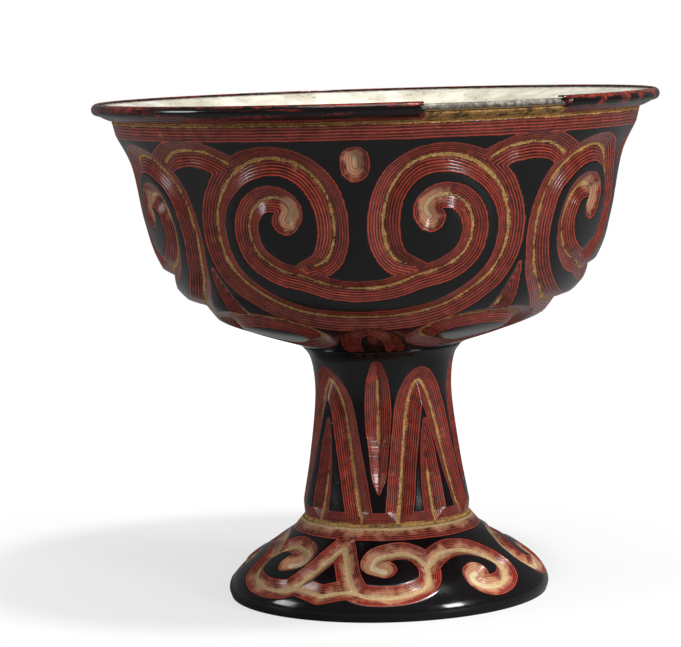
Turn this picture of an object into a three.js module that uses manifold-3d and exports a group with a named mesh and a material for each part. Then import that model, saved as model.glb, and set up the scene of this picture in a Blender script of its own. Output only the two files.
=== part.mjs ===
// A lacquer stem cup: a round bowl with an everted lip, on a waisted stem that spreads into a hollow foot.
//
// The cup is built up in layers, as carved lacquerware is. A turned wooden bowl and a turned wooden stem,
// joined by a tenon, carry a thin ochre ground. Over the ground lies a thick coat of lacquer, which the
// scrolls are cut into. A metal liner fills the bowl and ends in a bead along the lip, and a thin coat of
// lacquer covers the bead, apart from one stretch that has broken away and shows the metal.
//
// Millimetres, +Z up. The origin is the centre of the ring that the foot stands on. An angle of 0 faces -Y,
// the front, and angles grow towards +X.

import * as THREE from 'three';
import { ConvexGeometry } from 'three/addons/geometries/ConvexGeometry.js';
import { mergeVertices } from 'three/addons/utils/BufferGeometryUtils.js';
import Module from 'manifold-3d';

const wasm = await Module();
wasm.setup();

// The outside of the foot, from the ring that it stands on to its collar. Setbacks are measured inwards from the
// foot's edge, which is its widest place.
const footEdgeRadius = 35.9;
const footEdgeHeight = 1.6;
const standingSetback = 0.45;
const footShoulderSetback = 0.45;
const footShoulderHeight = 3.4;
const domeEdgeSetback = 2.25;
const domeEdgeHeight = 6;
const domeSetback = 5.65;
const domeHeight = 8.8;
const slopeSetback = 9.35;
const slopeHeight = 11.2;
const collarRadius = 21;
const collarHeight = 14.8;

// The ring groove round the ankle, where the coats of stem and foot thin out to the ground. Heights on the
// groove and the stem are measured from the foot's collar.
const ankleGrooveRadius = 18.6;
const ankleGrooveRise = 2.6;
const collarTipWidening = 0.35;
const collarTipDrop = 0.3;
const ankleTipNarrowing = 0.7;
const ankleTipRise = 1.4;

// The outside of the stem, from its ankle to its top.
const ankleRadius = 18.8;
const ankleRise = 5.8;
const calfRadius = 16.9;
const calfRise = 16;
const waistRadius = 15.3;
const waistRise = 31.7;
const stemNeckRadius = 16.3;
const stemNeckDrop = 2.05;
const stemTopRadius = 17.7;
const stemTopRise = 40.55;

// The outside of the bowl, from its base to its neck. Heights on the bowl are measured from its seat, and
// setbacks inwards from the neck. The base stands out from the stem's top.
const bowlBaseWidening = 1.6;
const bowlBaseRise = 0.65;
const undersideSetback = 28.7;
const undersideRise = 3.65;
const bilgeSetback = 21.3;
const bilgeRise = 6.65;
const keelSetback = 13.4;
const keelRise = 12.65;
const flankSetback = 8.2;
const flankRise = 20.65;
const bellySetback = 5.6;
const bellyRise = 29.15;
const shoulderSetback = 3.1;
const shoulderRise = 41.65;
const neckRadius = 57.4;
const neckRise = 48.05;

// The ring groove under the lip, which is cut down to the ground, and the lip itself. Each stands out from the
// one before it and lifts above the neck.
const neckGrooveWidening = 0.6;
const neckGrooveLift = 3.1;
const lipUndersideWidening = 2.7;
const lipUndersideLift = 4.6;
const lipOverhang = 2.4;
const lipLift = 5.8;
const lipRounding = 1.3;

// The inside of the flare, as the outer face of the liner, set back from the neck and from the lip's underside.
const throatSetback = 7.4;
const throatLift = 0.2;
const browSetback = 6.3;
const browLift = 3.6;

// The hollow under the foot. Its rim and shoulder are set back from the foot's edge.
const hollowRimSetback = 5.55;
const hollowRimHeight = 0.2;
const hollowShoulderSetback = 7.45;
const hollowShoulderHeight = 2;
const hollowFlankRadius = 20;
const hollowFlankHeight = 4.7;
const hollowRoofRadius = 12;
const hollowRoofHeight = 5.8;

// How thick each layer is, and the bond between one layer and the next.
const coatThickness = 1.7;
const groundThickness = 0.4;
const bowlWoodThickness = 3.8;
const linerThickness = 0.6;
const lipCoatThickness = 0.35;
const undersideCoatThickness = 0.8;
const bond = 0.15;

// The joint between bowl and stem.
const bowlDiscSetback = 1.55;
const tenonRadius = 8;
const tenonLength = 4.2;
const tenonClearance = 0.3;
const seatGap = 0.3;

// The stretch of lip that has lost its lacquer, in degrees.
const lossStart = 7.5;
const lossEnd = 40;

// Where the bead and the lacquer over it begin and end round the lip, in degrees from straight outwards.
const beadStart = -150;
const beadEnd = 120;
const lipCoatStart = -130;
const lipCoatEnd = 115;

// The gouge that cuts the scrolls: the lacquer that it leaves over the ground, how deep a narrow stroke is for its
// half width, and how far the tool's flanks run on above the surface, as a share of the depth.
const skinUnderCut = 0.5;
const narrowDepth = 0.56;
const gougeLift = 0.5;

// The scrolls on the bowl. A place is an angle in degrees from the middle of the motif, a climb in hundredths of
// the way up the outside, and half the width of the stroke there in millimetres. Strokes that cross the middle
// are given as one half, which ends there.
const broadScroll = [
  [13.5, 56.4, 2.6], [8.5, 59.4, 3.3], [6.3, 64.7, 3.6], [5.8, 73.7, 3.6], [7.7, 82.8, 3.6], [12.5, 89.8, 3.6],
  [19, 92.2, 3.6], [26.5, 89.6, 3.6], [33, 82.8, 3.6], [36.2, 73.7, 3.6], [36.5, 63.2, 3.6], [34, 53.3, 3.6],
  [29.5, 46.5, 3.6], [21.5, 38.7, 4], [11.5, 34.5, 4.2], [0, 33.4, 4.2],
];
const innerScroll = [
  [16.7, 72.5, 2.7], [14.6, 75.6, 2.9], [15.2, 79.2, 3.2], [18.5, 81.6, 3.3], [23, 81, 3.3], [26.8, 76, 3.3],
  [28.1, 68.4, 3.3], [26, 60.9, 3.3], [21, 56.1, 3.1], [14.5, 53.2, 2.9], [7.5, 49.6, 2.8], [0, 48.4, 2.8],
];
const bossPit = [[0, 89.5, 2.6], [0, 92.8, 2.6]];
const bridgeArch = [[30.5, 90.1, 3.2], [35.5, 92.2, 3.2], [41, 92.9, 3.2]];
const stalk = [[41, 56.4, 0.6], [41, 45, 2.2], [41, 36.7, 3.2]];
const cloud = [
  [41, 33.2, 3.3], [31, 31.9, 3.3], [24, 28.4, 3.3], [20, 22.7, 3.3], [21, 16.3, 3.3], [25.5, 11, 3.3],
  [33.5, 7.3, 3.3], [41, 6.2, 3.3],
];
const leg = [[2.5, 25.4, 2], [6.5, 20.9, 2.2], [9.5, 11.8, 2.2], [12, 5.5, 2.2]];

// Where the bowl's motifs sit: the angle of each middle, and how far each reaches to its left and right.
const motifReach = 41;
const motifs = [
  { middle: -5.5, left: 41, right: 41 },
  { middle: 76.5, left: 41, right: 49 },
  { middle: 174.5, left: 49, right: 49 },
  { middle: -87.5, left: 49, right: 41 },
];

// The scrolls on the foot, in the same way, from the middle of one peak to a quarter turn on.
const peakLeg = [[0.8, 91.2, 2.75], [3.2, 83.5, 2.75], [6.4, 67.7, 2.75], [10.2, 47.4, 2.75], [13, 36.1, 2.75]];
const valley = [
  [0, 28, 2.6], [11, 34.3, 2.6], [17.5, 29.3, 2.6], [27, 28, 2.6], [35.7, 32.1, 2.6], [41.4, 40.6, 2.6],
  [43.7, 54.6, 2.6], [44, 65.5, 2.6],
];
const hook = [
  [44, 67.7, 2.75], [41, 79, 2.75], [35, 85.3, 2.75], [27, 84.4, 2.75], [20, 79, 2.75], [19, 67.7, 2.75],
  [24, 62.3, 2.6],
];
const footScroll = [
  [44.5, 65.5, 2.8], [49, 74.5, 2.8], [56, 82.2, 2.8], [64, 84, 2.8], [73, 78.6, 2.8], [80, 63.2, 2.8],
  [81.5, 49.7, 2.8], [79, 37.5, 2.8], [73, 29.3, 2.8], [66, 29.8, 2.8], [62, 37.5, 2.8], [65, 47.9, 2.6],
];
const peakAngle = -27;

// Fineness of the gouge and its strokes, and of the turned shapes. The carved coats have more turns.
const gougeSides = 6;
const strokeStep = 6;
const turns = 36;
const coatTurns = 48;
const bowlSteps = 9;
const stemSteps = 6;
const footSteps = 10;
const lipSteps = 7;

// The joint's two faces, and the middle of the lip.
const stemTop = collarHeight + stemTopRise;
const bowlSeat = stemTop + seatGap;
const lipMiddle = bowlSeat + neckRise + lipLift;

// The flat disc under the wooden bowl, which is set back from the edge of the stem's top.
const bowlDiscRadius = stemTopRadius - bowlDiscSetback;

// Radii that follow from the neck's.
const neckGrooveRadius = neckRadius + neckGrooveWidening;
const lipUndersideRadius = neckRadius + lipUndersideWidening;
const lipRadius = lipUndersideRadius + lipOverhang;
const throatRadius = neckRadius - throatSetback;
const browRadius = lipUndersideRadius - browSetback;

// Radii that follow from the foot's edge.
const hollowRimRadius = footEdgeRadius - hollowRimSetback;
const hollowShoulderRadius = footEdgeRadius - hollowShoulderSetback;

const point = (radius, height) => new THREE.Vector2(radius, height);
const onFoot = (setback, height) => point(footEdgeRadius - setback, height);
const onStem = (radius, rise) => point(radius, collarHeight + rise);
const onBowl = (radius, rise) => point(radius, bowlSeat + rise);
const belowNeck = (setback, rise) => onBowl(neckRadius - setback, rise);
const aboveNeck = (radius, lift) => onBowl(radius, neckRise + lift);

// A smooth curve through a few places, and the outline along one from its lowest place to its highest.
const smoothCurve = (places) => new THREE.CatmullRomCurve3(places, false, 'centripetal');
const sideCurve = (places) => smoothCurve(places.map((place) => new THREE.Vector3(place.x, place.y, 0)));
const outline = (curve, steps) => curve.getSpacedPoints(steps).map((place) => point(place.x, place.y));

// The same outline, moved square to itself by a depth into the material.
function inset(line, depth) {
  return line.map((place, i) => {
    const before = line[Math.max(i - 1, 0)];
    const after = line[Math.min(i + 1, line.length - 1)];
    const along = after.clone().sub(before).normalize();
    return point(place.x - along.y * depth, place.y + along.x * depth);
  });
}

// A stretch of circle round the middle of the lip, by angles in degrees.
function lipArc(radius, start, end) {
  const places = [];
  for (let i = 0; i <= lipSteps; i += 1) {
    const angle = THREE.MathUtils.degToRad(start + ((end - start) * i) / lipSteps);
    const middle = lipRadius - lipRounding;
    places.push(point(middle + radius * Math.cos(angle), lipMiddle + radius * Math.sin(angle)));
  }
  return places;
}

// Runs an outline on at its lower end to a smaller radius, at the slope that it has there.
function runInTo(line, radius) {
  const [first, second] = line;
  const slope = (second.y - first.y) / (second.x - first.x);
  return [point(radius, first.y + (radius - first.x) * slope), ...line];
}

// Turns a section about the Z axis. The section runs up its outer side and down its inner side.
function turned(section, sides = turns) {
  const geometry = new THREE.LatheGeometry(section, sides);
  geometry.rotateX(Math.PI / 2);
  return geometry;
}

const ring = (section, sides) => turned([...section, section[0].clone()], sides);

function toSolid(geometry) {
  const bare = geometry.clone();
  bare.deleteAttribute('normal');
  bare.deleteAttribute('uv');
  const merged = mergeVertices(bare);
  return new wasm.Manifold(new wasm.Mesh({
    numProp: 3,
    vertProperties: new Float32Array(merged.attributes.position.array),
    triVerts: new Uint32Array(merged.index.array),
  }));
}

function toGeometry(solid) {
  const mesh = solid.getMesh();
  const geometry = new THREE.BufferGeometry();
  geometry.setAttribute('position', new THREE.BufferAttribute(mesh.vertProperties, 3));
  geometry.setIndex(new THREE.BufferAttribute(mesh.triVerts, 1));
  geometry.computeVertexNormals();
  return geometry;
}

const bowlSide = sideCurve([
  onBowl(stemTopRadius + bowlBaseWidening, bowlBaseRise),
  belowNeck(undersideSetback, undersideRise),
  belowNeck(bilgeSetback, bilgeRise),
  belowNeck(keelSetback, keelRise),
  belowNeck(flankSetback, flankRise),
  belowNeck(bellySetback, bellyRise),
  belowNeck(shoulderSetback, shoulderRise),
  onBowl(neckRadius, neckRise),
]);
const bowlLine = outline(bowlSide, bowlSteps);

const stemLine = outline(sideCurve([
  onStem(ankleRadius, ankleRise),
  onStem(calfRadius, calfRise),
  onStem(waistRadius, waistRise),
  onStem(stemNeckRadius, stemTopRise - stemNeckDrop),
  onStem(stemTopRadius, stemTopRise),
]), stemSteps);

const footSide = sideCurve([
  onFoot(standingSetback, 0),
  point(footEdgeRadius, footEdgeHeight),
  onFoot(footShoulderSetback, footShoulderHeight),
  onFoot(domeEdgeSetback, domeEdgeHeight),
  onFoot(domeSetback, domeHeight),
  onFoot(slopeSetback, slopeHeight),
  point(collarRadius, collarHeight),
]);
const footLine = outline(footSide, footSteps);

// Depths of the layers' faces below the outside.
const groundDepth = coatThickness + bond;
const woodUnderGround = groundThickness + bond;
const linerDepth = groundDepth + woodUnderGround + bowlWoodThickness + bond;

// The ground on the bowl runs on past the neck, and is bare in the ring groove and under the lip.
const bowlGroundLine = [
  ...runInTo(inset(bowlLine, groundDepth), bowlDiscRadius + bond),
  aboveNeck(neckGrooveRadius, neckGrooveLift),
  aboveNeck(lipUndersideRadius, lipUndersideLift),
];

const undersideCoatTop = hollowRimHeight + undersideCoatThickness;
const coreBottom = undersideCoatTop + bond;

// Where a line that starts below the wood's lower edge is cut off level with that edge.
function startAt(line, height) {
  const above = line.filter((place) => place.y > height);
  return [point(line[0].x, height), ...above];
}

// The ground on stem and foot is one layer, bare in the groove round the ankle.
const stemGroundLine = [
  ...startAt(inset(footLine, groundDepth), coreBottom),
  onStem(ankleGrooveRadius, ankleGrooveRise),
  ...inset(stemLine, groundDepth),
];
stemGroundLine[stemGroundLine.length - 1].y = stemTop;

// The face that the liner turns to the wood, from the middle of the bowl to the lip.
const linerLine = [
  ...inset(bowlLine, linerDepth).filter((place) => place.y < bowlSeat + neckRise + throatLift - linerDepth / 2),
  aboveNeck(throatRadius, throatLift),
  aboveNeck(browRadius, browLift),
];

function linerShape() {
  const bead = lipArc(lipRounding - lipCoatThickness - bond, beadStart, beadEnd);
  const inner = inset(linerLine, linerThickness);
  return turned([
    point(0, linerLine[0].y),
    ...linerLine,
    ...bead,
    ...inner.reverse(),
    point(0, linerLine[0].y + linerThickness),
  ]);
}

function bowlCoreShape() {
  const mortiseRadius = tenonRadius + tenonClearance;
  const mortiseTop = stemTop + tenonLength + tenonClearance;
  const outer = runInTo(inset(bowlGroundLine.slice(1), woodUnderGround), bowlDiscRadius);
  const inner = inset(linerLine, -bond);
  return turned([
    point(0, mortiseTop),
    point(mortiseRadius, mortiseTop),
    point(mortiseRadius, bowlSeat),
    point(bowlDiscRadius, bowlSeat),
    ...outer,
    ...inner.reverse(),
    point(0, inner[inner.length - 1].y),
  ]);
}

function stemCoreShape() {
  const outer = inset(stemGroundLine, woodUnderGround);
  outer[0].y = coreBottom;
  outer[outer.length - 1].y = stemTop;
  const cover = undersideCoatThickness + bond;
  const tenonTop = stemTop + tenonLength;
  return turned([
    point(0, hollowRoofHeight + cover),
    point(hollowRoofRadius, hollowRoofHeight + cover),
    point(hollowFlankRadius, hollowFlankHeight + cover),
    point(hollowShoulderRadius, hollowShoulderHeight + cover),
    point(hollowRimRadius, hollowRimHeight + cover),
    ...outer,
    point(tenonRadius, stemTop),
    point(tenonRadius, tenonTop),
    point(0, tenonTop),
  ]);
}

function bowlGroundShape() {
  return ring([...bowlGroundLine, ...inset(bowlGroundLine, groundThickness).reverse()]);
}

function stemGroundShape() {
  const inner = inset(stemGroundLine, groundThickness);
  inner[0].y = coreBottom;
  inner[inner.length - 1].y = stemTop;
  return ring([...stemGroundLine, ...inner.reverse()]);
}

// A path of evenly spaced places along a stroke, at the radius that the coat has thereabouts.
function strokePath(side, places, radius) {
  const degreeLength = THREE.MathUtils.degToRad(radius);
  const climbLength = side.getLength() / 100;
  const curve = smoothCurve(places.map(([angle, climb, half]) => (
    new THREE.Vector3(angle * degreeLength, climb * climbLength, half))));
  const steps = Math.max(Math.round(curve.getLength() / strokeStep), 1);
  return curve.getSpacedPoints(steps).map((place) => [place.x / degreeLength, place.y, place.z]);
}

const mirrored = (places) => places.map(([angle, climb, half]) => [-angle, climb, half]);
const bothHalves = (half) => [...half, ...mirrored(half.slice(0, -1)).reverse()];
const moved = (path, place) => path.map(([angle, climb, half]) => [place(angle), climb, half]);

// The gouge's tip and rim when it stands at one place on a coat. The rim lies above the surface.
function gougeAt(side, [angle, climb, half]) {
  const share = climb / side.getLength();
  const spot = side.getPointAt(share);
  const along = side.getTangentAt(share);
  const turn = THREE.MathUtils.degToRad(angle);
  const out = new THREE.Vector3(Math.sin(turn), -Math.cos(turn), 0);
  const up = out.clone().multiplyScalar(along.x).setZ(along.y);
  const across = new THREE.Vector3(Math.cos(turn), Math.sin(turn), 0);
  const normal = out.clone().multiplyScalar(along.y).setZ(-along.x);
  const middle = out.clone().multiplyScalar(spot.x).setZ(spot.y);
  const depth = Math.min(coatThickness - skinUnderCut, half * narrowDepth);
  const corners = [middle.clone().addScaledVector(normal, -depth)];
  for (let i = 0; i < gougeSides; i += 1) {
    const facet = (2 * Math.PI * (i + 0.5)) / gougeSides;
    const reach = (half * (1 + gougeLift)) / Math.cos(Math.PI / gougeSides);
    corners.push(middle.clone()
      .addScaledVector(normal, depth * gougeLift)
      .addScaledVector(up, reach * Math.cos(facet))
      .addScaledVector(across, reach * Math.sin(facet)));
  }
  return corners;
}

// A coat with its strokes cut, each as a run of bites between one place of the gouge and the next.
function carve(coat, side, paths) {
  const bites = [];
  for (const path of paths) {
    const stands = path.map((place) => gougeAt(side, place));
    for (let i = 1; i < stands.length; i += 1) {
      bites.push(toSolid(new ConvexGeometry([...stands[i - 1], ...stands[i]])));
    }
  }
  return toGeometry(toSolid(coat).subtract(wasm.Manifold.union(bites)));
}

function bowlPaths() {
  const whole = [bothHalves(broadScroll), bothHalves(innerScroll), bossPit];
  const sides = [
    [bridgeArch, shoulderSetback],
    [stalk, flankSetback],
    [cloud, bilgeSetback],
    [leg, undersideSetback],
  ];
  const paths = whole.map((places) => strokePath(bowlSide, places, neckRadius - bellySetback));
  for (const [places, setback] of sides) {
    const path = strokePath(bowlSide, places, neckRadius - setback);
    paths.push(path, mirrored(path));
  }
  return motifs.flatMap(({ middle, left, right }) => {
    const place = (angle) => middle + (angle * (angle < 0 ? left : right)) / motifReach;
    return paths.map((path) => moved(path, place));
  });
}

function footPaths() {
  const strokes = [peakLeg, valley, hook, footScroll];
  const quarter = strokes.map((places) => strokePath(footSide, places, footEdgeRadius - domeSetback));
  return [0, 180].flatMap((half) => quarter.flatMap((path) => (
    [path, mirrored(path)].map((one) => moved(one, (angle) => angle + peakAngle + half)))));
}

// The bowl's coat thins to nothing at the ring groove, and turns in under the bowl to meet the stem.
function bowlCoatShape() {
  const inner = runInTo(inset(bowlLine, coatThickness), bowlDiscRadius + bond);
  const coat = ring([
    point(bowlDiscRadius + bond, bowlSeat),
    point(stemTopRadius + seatGap, bowlSeat),
    ...bowlLine,
    aboveNeck(neckGrooveRadius + bond, neckGrooveLift - bond),
    ...inner.reverse(),
  ], coatTurns);
  return carve(coat, bowlSide, bowlPaths());
}

function stemCoatShape() {
  const inner = inset(stemLine, coatThickness);
  inner[inner.length - 1].y = stemTop;
  const tip = onStem(ankleGrooveRadius - ankleTipNarrowing, ankleGrooveRise + ankleTipRise);
  return ring([tip, ...stemLine, ...inner.reverse()]);
}

function footCoatShape() {
  const inner = inset(footLine, coatThickness);
  inner[0].y = 0;
  const tip = onStem(ankleGrooveRadius + collarTipWidening, ankleGrooveRise - collarTipDrop);
  const coat = ring([...footLine, tip, ...inner.reverse()], coatTurns);
  return carve(coat, footSide, footPaths());
}

// A thin coat lines the hollow and covers the lower edge of the wood, a little above the standing ring.
function undersideCoatShape() {
  const brim = inset(footLine, coatThickness)[0].x - bond;
  const top = undersideCoatThickness;
  return turned([
    point(0, hollowRoofHeight),
    point(hollowRoofRadius, hollowRoofHeight),
    point(hollowFlankRadius, hollowFlankHeight),
    point(hollowShoulderRadius, hollowShoulderHeight),
    point(hollowRimRadius, hollowRimHeight),
    point(brim, hollowRimHeight),
    point(brim, undersideCoatTop),
    point(hollowRimRadius, undersideCoatTop),
    point(hollowShoulderRadius, hollowShoulderHeight + top),
    point(hollowFlankRadius, hollowFlankHeight + top),
    point(hollowRoofRadius, hollowRoofHeight + top),
    point(0, hollowRoofHeight + top),
  ]);
}

// The lacquer over the bead goes all the way round, less the wedge between the two ends of the loss.
function lipCoatShape() {
  const inner = lipArc(lipRounding - lipCoatThickness, lipCoatStart, lipCoatEnd);
  const outer = lipArc(lipRounding, lipCoatStart, lipCoatEnd);
  const whole = ring([...outer, ...inner.reverse()]);
  const reach = lipRadius * 2;
  const corners = [lossStart, lossEnd].map((degrees) => {
    const angle = THREE.MathUtils.degToRad(degrees);
    return point(reach * Math.sin(angle), -reach * Math.cos(angle));
  });
  const wedge = new THREE.Shape([point(0, 0), ...corners]);
  const cutter = new THREE.ExtrudeGeometry(wedge, { depth: lipRounding * 4, bevelEnabled: false });
  cutter.translate(0, 0, lipMiddle - lipRounding * 2);
  return toGeometry(toSolid(whole).subtract(toSolid(cutter)));
}

const blackLacquer = { color: 0x17110f, roughness: 0.22, metalness: 0 };
const redLacquer = { color: 0x6e1410, roughness: 0.3, metalness: 0 };
const ochreGround = { color: 0xb98a35, roughness: 0.7, metalness: 0 };
const turnedWood = { color: 0x8a6642, roughness: 0.8, metalness: 0 };
const agedMetal = { color: 0xaaa69b, roughness: 0.4, metalness: 1 };

const group = new THREE.Group();

function addPiece(name, geometry, look) {
  const piece = new THREE.Mesh(geometry, new THREE.MeshStandardMaterial(look));
  piece.name = name;
  group.add(piece);
}

addPiece('liner', linerShape(), agedMetal);
addPiece('bowl_core', bowlCoreShape(), turnedWood);
addPiece('stem_core', stemCoreShape(), turnedWood);
addPiece('bowl_ground', bowlGroundShape(), ochreGround);
addPiece('stem_ground', stemGroundShape(), ochreGround);
addPiece('lip_lacquer', lipCoatShape(), blackLacquer);
addPiece('bowl_lacquer', bowlCoatShape(), redLacquer);
addPiece('stem_lacquer', stemCoatShape(), redLacquer);
addPiece('foot_lacquer', footCoatShape(), redLacquer);
addPiece('underside_lacquer', undersideCoatShape(), blackLacquer);

export default group;
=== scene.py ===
# A carved lacquer stem cup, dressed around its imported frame. The coats of lacquer on bowl, stem and foot
# are turned blanks, and the scrolls are cut into them along strokes laid out on their outside. How deep a
# place is cut says which layer of lacquer shows there.
#
# Sizes are in millimetres and turned into metres where a mesh is made. An angle of 0 faces the front, -Y,
# and angles grow towards +X. A place on the outside of the cup is an angle in degrees and a climb, which
# is the length in millimetres up the outside from the ring that the foot stands on.

import math

import bpy
import numpy as np
from mathutils import Matrix, Vector

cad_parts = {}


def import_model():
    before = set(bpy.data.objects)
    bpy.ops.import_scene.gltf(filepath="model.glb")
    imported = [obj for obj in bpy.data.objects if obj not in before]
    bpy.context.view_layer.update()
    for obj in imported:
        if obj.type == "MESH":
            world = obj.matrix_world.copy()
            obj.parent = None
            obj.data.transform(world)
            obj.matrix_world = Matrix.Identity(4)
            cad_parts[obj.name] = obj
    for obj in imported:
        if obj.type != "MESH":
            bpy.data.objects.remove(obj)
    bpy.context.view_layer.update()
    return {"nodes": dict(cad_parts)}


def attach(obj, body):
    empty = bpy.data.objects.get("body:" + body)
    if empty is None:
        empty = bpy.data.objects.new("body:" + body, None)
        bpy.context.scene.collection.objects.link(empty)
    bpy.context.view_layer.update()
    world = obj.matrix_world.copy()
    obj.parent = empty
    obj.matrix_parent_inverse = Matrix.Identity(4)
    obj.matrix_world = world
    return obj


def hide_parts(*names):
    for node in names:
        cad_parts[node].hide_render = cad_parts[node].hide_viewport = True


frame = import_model()

MM = 0.001
BODY = "root"

# The outside of the cup, as radius and height.
FOOT_PLACES = [
    (35.45, 0), (35.9, 1.6), (35.45, 3.4), (33.65, 6), (30.25, 8.8), (26.55, 11.2), (21, 14.8),
]
ANKLE_GROOVE = (18.6, 17.4)
STEM_PLACES = [(18.8, 20.6), (16.9, 30.8), (15.3, 46.5), (16.3, 53.3), (17.7, 55.35)]
BOWL_PLACES = [
    (19.3, 56.3), (28.7, 59.3), (36.1, 62.3), (44, 68.3), (49.2, 76.3), (51.8, 84.8), (54.3, 97.3),
    (57.4, 103.7),
]
NECK_GROOVE = (58, 106.8)
LIP_UNDERSIDE = (60.1, 108.3)
LIP_RADIUS = 62.47
LIP_MIDDLE = 109.5
LIP_ROUNDING = 1.28
THROAT = (50, 103.9)
BROW = (53.8, 107.3)

# The wall of lacquer that hangs under the lip, from its thin lower edge outwards, and its back.
LIP_WALL = [(58.18, 106.92), (59.2, 107.28), (60.3, 107.8), (61, 108.22)]
LIP_WALL_BACK = [(60.2, 108.32), (61, 108.6)]

# How deep the cut into that wall is taken to be at its top. Below 0 it has run out before it gets there.
WALL_CUT_END = -1.2

# Where the coats of lacquer thin out to nothing, beside the two ring grooves.
STEM_TIP = (18.4, 17.85)
FOOT_TIP = (18.8, 17.4)
BOWL_TIP = (58.15, 106.65)

# How far below its upper edge the bowl's coat starts to slope to its tip.
BOWL_SLOPE_EARLY = 0.7

# The seat of the bowl on the stem: its height and radius, the stem's top and how far the coat flares
# there, the disc of wood inside it, and how far the stem's ground stays below.
BOWL_SEAT = 55.65
SEAT_RADIUS = 18
STEM_TOP = 55.62
STEM_FLARE = 0.25
DISC_RADIUS = 16.3
GROUND_DROP = 0.3

# The hollow under the foot, from its rim to the middle.
HOLLOW_PLACES = [(30.35, 0.2), (28.45, 2), (20, 4.7), (12, 5.8), (0, 5.8)]

# Thickness of each layer, and the bond between one layer and the next.
COAT = 1.7
GROUND = 0.4
WOOD = 3.8
LINER = 0.6
LIP_COAT = 0.35
UNDERSIDE_COAT = 0.8
BOND = 0.15

# The gouge: how deep it goes at most, how deep the coats' slopes to the ring grooves go, how steep its
# walls are on a narrow stroke, how far the polish has rounded its edges, and how much the hand strays.
CUT_DEPTH = 1.52
TIP_DEPTH = 1.5
WALL_STEEPNESS = 0.56
EDGE_ROUNDING = 0.16
HAND_SWAY = 0.16

# The wear at the very end of a worn stroke. It falls by 1 over the end's reach, and is full above 1.
FULLY_WORN = 1.4

# Fineness of the meshes.
BOWL_STEP = 0.5
BOWL_COLUMNS = 584
STEM_STEP = 0.25
STEM_COLUMNS = 440
FOOT_STEP = 0.3
FOOT_COLUMNS = 640
PLAIN_COLUMNS = 288
LIP_COLUMNS = 520
LIP_STEPS = 20
STROKE_STEP = 0.4

# The stretch of lip that has lost its lacquer, in degrees.
LOSS_START = 7.5
LOSS_END = 40

# From where to where the metal bead and the lacquer over it go round, in degrees up from straight out.
BEAD_ARC = (-150, 120)
LIP_ARC = (-98, 84)


# Curves and outlines

def smooth(places, step):
    """A smooth curve through places, as evenly spaced points. Its first two columns are lengths."""
    knots = np.array(places, float)
    knots = np.vstack([2 * knots[0] - knots[1], knots, 2 * knots[-1] - knots[-2]])
    gaps = np.sqrt(np.linalg.norm(np.diff(knots[:, :2], axis=0), axis=1))
    fine = [knots[1:2]]
    for i in range(1, len(knots) - 2):
        before, start, end, after = knots[i - 1:i + 3]
        left, gap, right = gaps[i - 1:i + 2]
        leave = (start - before) / left - (end - before) / (left + gap) + (end - start) / gap
        arrive = (end - start) / gap - (after - start) / (gap + right) + (after - end) / right
        t = np.linspace(0, 1, 33)[1:, None]
        fine.append(start + leave * gap * t + (3 * (end - start) - gap * (2 * leave + arrive)) * t ** 2
                    + (2 * (start - end) + gap * (leave + arrive)) * t ** 3)
    fine = np.vstack(fine)
    return spaced(fine, step)


def spaced(line, step):
    """The same line, as points evenly spaced by about one step."""
    climb = lengths(line)
    count = max(int(round(climb[-1] / step)), 1) + 1
    marks = np.linspace(0, climb[-1], count)
    return np.column_stack([np.interp(marks, climb, column) for column in line.T])


def lengths(line):
    """The length of a line up to each of its points."""
    return np.concatenate([[0], np.cumsum(np.linalg.norm(np.diff(line[:, :2], axis=0), axis=1))])


def inwards(line):
    """For each point of an outline that runs up the outside, the direction square to it and inwards."""
    along = np.gradient(line, axis=0)
    along /= np.linalg.norm(along, axis=1)[:, None]
    return np.column_stack([-along[:, 1], along[:, 0]])


def inset(line, depth):
    return line + inwards(line) * depth


def arc(middle, radius, start, end, steps):
    angles = np.radians(np.linspace(start, end, steps + 1))
    return np.column_stack([middle[0] + radius * np.cos(angles), middle[1] + radius * np.sin(angles)])


def runs_in(line, radius):
    """An outline run on at its lower end to a smaller radius, at the slope that it has there."""
    (r0, z0), (r1, z1) = line[0], line[1]
    return np.vstack([[radius, z0 + (radius - r0) * (z1 - z0) / (r1 - r0)], line])


FOOT_LINE = smooth(FOOT_PLACES, FOOT_STEP)
STEM_LINE = smooth(STEM_PLACES, STEM_STEP)
BOWL_LINE = smooth(BOWL_PLACES, BOWL_STEP)
OUTSIDE = np.vstack([FOOT_LINE, [ANKLE_GROOVE], STEM_LINE, BOWL_LINE, [NECK_GROOVE], [LIP_UNDERSIDE]])
CLIMB = lengths(OUTSIDE)
STEM_START = CLIMB[len(FOOT_LINE) + 1]
BOWL_START = CLIMB[len(FOOT_LINE) + 1 + len(STEM_LINE)]


def on_outside(degrees, climb):
    """Points in metres on the outside of the cup."""
    radius = np.interp(climb, CLIMB, OUTSIDE[:, 0])
    height = np.interp(climb, CLIMB, OUTSIDE[:, 1])
    turn = np.radians(degrees)
    return np.column_stack([radius * np.sin(turn), -radius * np.cos(turn), height]) * MM


# Meshes

def mesh_of(name, points, faces):
    mesh = bpy.data.meshes.new(name)
    mesh.from_pydata(points.tolist(), [], faces)
    mesh.update()
    return mesh


def keep_on_points(mesh, name, values, kind="FLOAT"):
    """Stores values on a mesh's points, under a name."""
    layer = mesh.attributes.new(name, kind, "POINT").data
    number = np.int32 if kind == "INT" else np.float32
    layer.foreach_set("vector" if kind == "FLOAT_VECTOR" else "value", np.array(values, number).ravel())


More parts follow.
